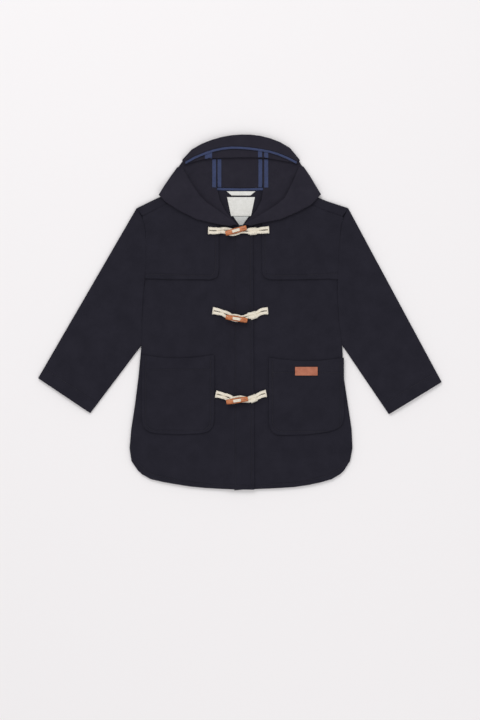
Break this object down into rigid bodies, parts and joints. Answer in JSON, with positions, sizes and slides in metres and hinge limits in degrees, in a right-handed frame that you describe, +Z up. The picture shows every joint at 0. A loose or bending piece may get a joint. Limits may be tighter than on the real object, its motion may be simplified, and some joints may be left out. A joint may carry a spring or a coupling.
{
  "type": "hooded duffle coat",
  "caption": "Child's hooded wool duffle coat with toggles, patch pockets and shoulder yokes, laid flat on its back.",
  "frame": {"origin": "on the surface that the coat lies on, at the middle of the footprint", "axes": "+X to the wearer's left along the sleeve span, +Y towards the hood, +Z up away from the surface"},
  "size_m": [0.726, 0.6397, 0.0237],
  "materials": {
    "navy_wool": "matt felted wool with a short nap",
    "hood_wool": "matt felted wool with a short nap",
    "blue_binding": "flat woven cotton binding",
    "cream_cord": "soft twisted cotton cord",
    "brown_toggle": "orange-brown with darker long grain, satin",
    "tan_leather": "smooth tan, matt",
    "white_label": "woven satin label",
    "grey_label": "printed satin care label, bare"
  },
  "bodies": {
    "root": {"back": "navy_wool", "crown_tape_left_inner": "blue_binding", "crown_tape_left_outer": "blue_binding", "crown_tape_right": "blue_binding", "front_left": "navy_wool", "front_right": "navy_wool", "hood_centre": "hood_wool", "hood_crown_fold": "hood_wool", "hood_facing": "hood_wool", "hood_facing_binding": "blue_binding", "hood_side_left": "hood_wool", "hood_side_right": "hood_wool", "label": "white_label", "label_care": "grey_label", "label_tab": "white_label", "leather_patch": "tan_leather", "loop_cord_1": "cream_cord", "loop_cord_2": "cream_cord", "loop_cord_3": "cream_cord", "neck_binding": "blue_binding", "pocket_left": "navy_wool", "pocket_right": "navy_wool", "seam_tape_left_inner": "blue_binding", "seam_tape_left_outer": "blue_binding", "seam_tape_right_inner": "blue_binding", "seam_tape_right_outer": "blue_binding", "sleeve_left": "navy_wool", "sleeve_right": "navy_wool", "toggle_1": "brown_toggle", "toggle_2": "brown_toggle", "toggle_3": "brown_toggle", "toggle_cord_1": "cream_cord", "toggle_cord_2": "cream_cord", "toggle_cord_3": "cream_cord", "yoke_left": "navy_wool", "yoke_right": "navy_wool"}
  },
  "joints": []
}
